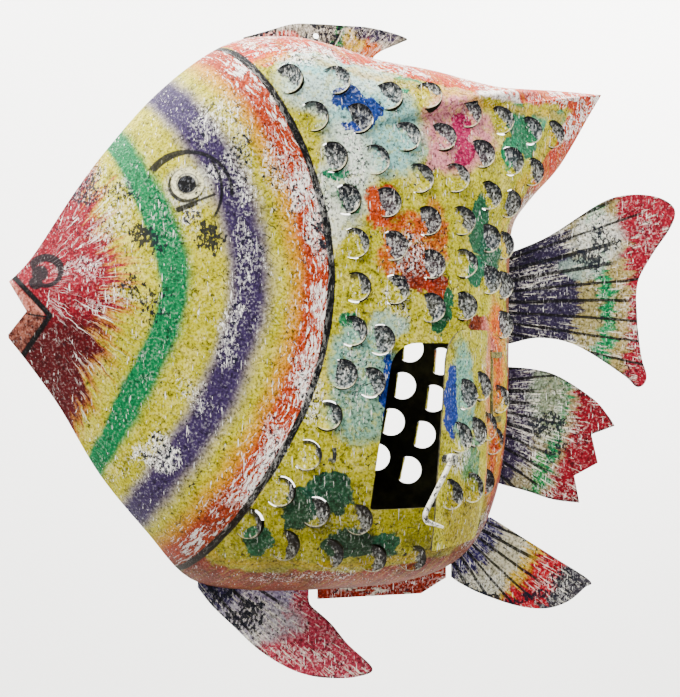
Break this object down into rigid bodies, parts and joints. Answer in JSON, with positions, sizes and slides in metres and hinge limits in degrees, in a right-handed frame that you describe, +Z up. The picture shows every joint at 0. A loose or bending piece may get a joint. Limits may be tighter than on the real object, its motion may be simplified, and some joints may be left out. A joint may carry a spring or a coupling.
{
  "type": "hanging candle lantern",
  "caption": "Hanging fish-shaped lantern of painted hammered sheet steel, pierced with rows of raised scale flaps, with flat fins, a hinged candle door and a swinging hook latch.",
  "frame": {"origin": "centre of the hanging hole in the dorsal fin, on the seam plane of the two halves", "axes": "+Z up, -X toward the mouth, +X toward the tail, -Y toward the side with the door; the seam of the two halves lies in Y = 0"},
  "size_m": [0.4627, 0.1999, 0.4377],
  "materials": {
    "shell_paint": "hand-brushed paint, rubbed through",
    "dorsal_paint": "hand-brushed paint, rubbed through",
    "tail_paint": "hand-brushed paint, rubbed through",
    "anal_paint": "hand-brushed paint, rubbed through",
    "front_fin_paint": "hand-brushed paint, rubbed through",
    "rear_fin_paint": "hand-brushed paint, rubbed through",
    "strip_paint": "hand-brushed paint, rubbed through",
    "door_paint": "hand-brushed paint, rubbed through",
    "inner_steel": "dark, unpolished",
    "hinge_paint": "hand-brushed paint, rubbed through",
    "hinge_wire_steel": "dull drawn wire",
    "rivet_steel": "dull, hammered",
    "hook_steel": "dull drawn wire, worn"
  },
  "bodies": {
    "body": {"near_shell": "shell_paint", "far_shell": "shell_paint", "dorsal_fin": "dorsal_paint", "tail_fin": "tail_paint", "anal_fin": "anal_paint", "front_ventral_fin": "front_fin_paint", "rear_ventral_fin": "rear_fin_paint", "belly_strip": "strip_paint", "candle_floor": "inner_steel", "candle_cup": "inner_steel", "upper_hinge_loop": "hinge_paint", "lower_hinge_loop": "hinge_paint", "hinge_wire": "hinge_wire_steel", "catch_peg": "rivet_steel"},
    "door": {"door_panel": "door_paint", "door_hinge_sleeve": "hinge_paint", "hook_rivet": "rivet_steel"},
    "hook": {"latch_hook": "hook_steel"}
  },
  "joints": [
    {"name": "door_hinge", "type": "hinge", "parent": "body", "child": "door", "pos_m": [0.10604, -0.045, -0.23399], "axis": [0, 0, 1], "range_deg": [-35, 55]},
    {"name": "hook_pivot", "type": "hinge", "parent": "door", "child": "hook", "pos_m": [0.05776, -0.10912, -0.27407], "axis": [0.5736, -0.8192, 0], "range_deg": [-62, 40]}
  ]
}
